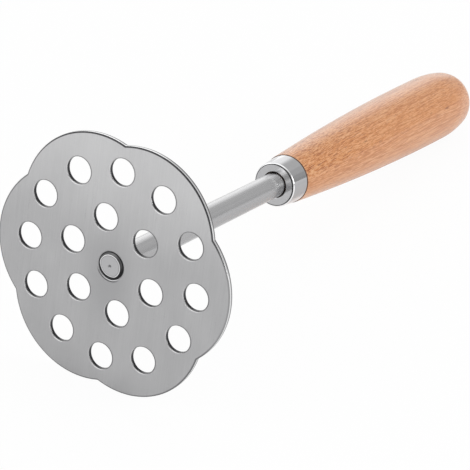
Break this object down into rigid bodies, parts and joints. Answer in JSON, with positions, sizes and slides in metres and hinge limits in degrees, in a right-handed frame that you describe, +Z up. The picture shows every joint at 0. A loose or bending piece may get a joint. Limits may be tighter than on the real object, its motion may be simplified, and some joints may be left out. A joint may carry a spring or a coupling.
{
  "type": "potato masher",
  "caption": "Hand potato masher: a lobed, perforated steel plate on a round steel shaft, with a ferrule and a turned wooden handle, lying as it rests on a table.",
  "frame": {"origin": "on the table under the middle of the tool's length, with the tool lying as it rests: on two lobes of the plate and on the handle's belly", "axes": "+X along the tool on the table, from the plate to the handle; +Z up from the table; +Y across. The shaft's own axis lies in the XZ plane and falls 7.05 degrees from level towards the handle's end."},
  "size_m": [0.261, 0.0904, 0.0854],
  "materials": {
    "plate_steel": "satin stainless steel, faintly brushed one way",
    "shaft_steel": "smooth drawn stainless steel, half bright",
    "ferrule_steel": "polished stainless steel",
    "beech": "clear satin lacquer over fine straight grain with short dark flecks"
  },
  "bodies": {
    "root": {"mash_plate": "plate_steel", "shaft": "shaft_steel", "ferrule": "ferrule_steel", "handle": "beech"}
  },
  "joints": []
}
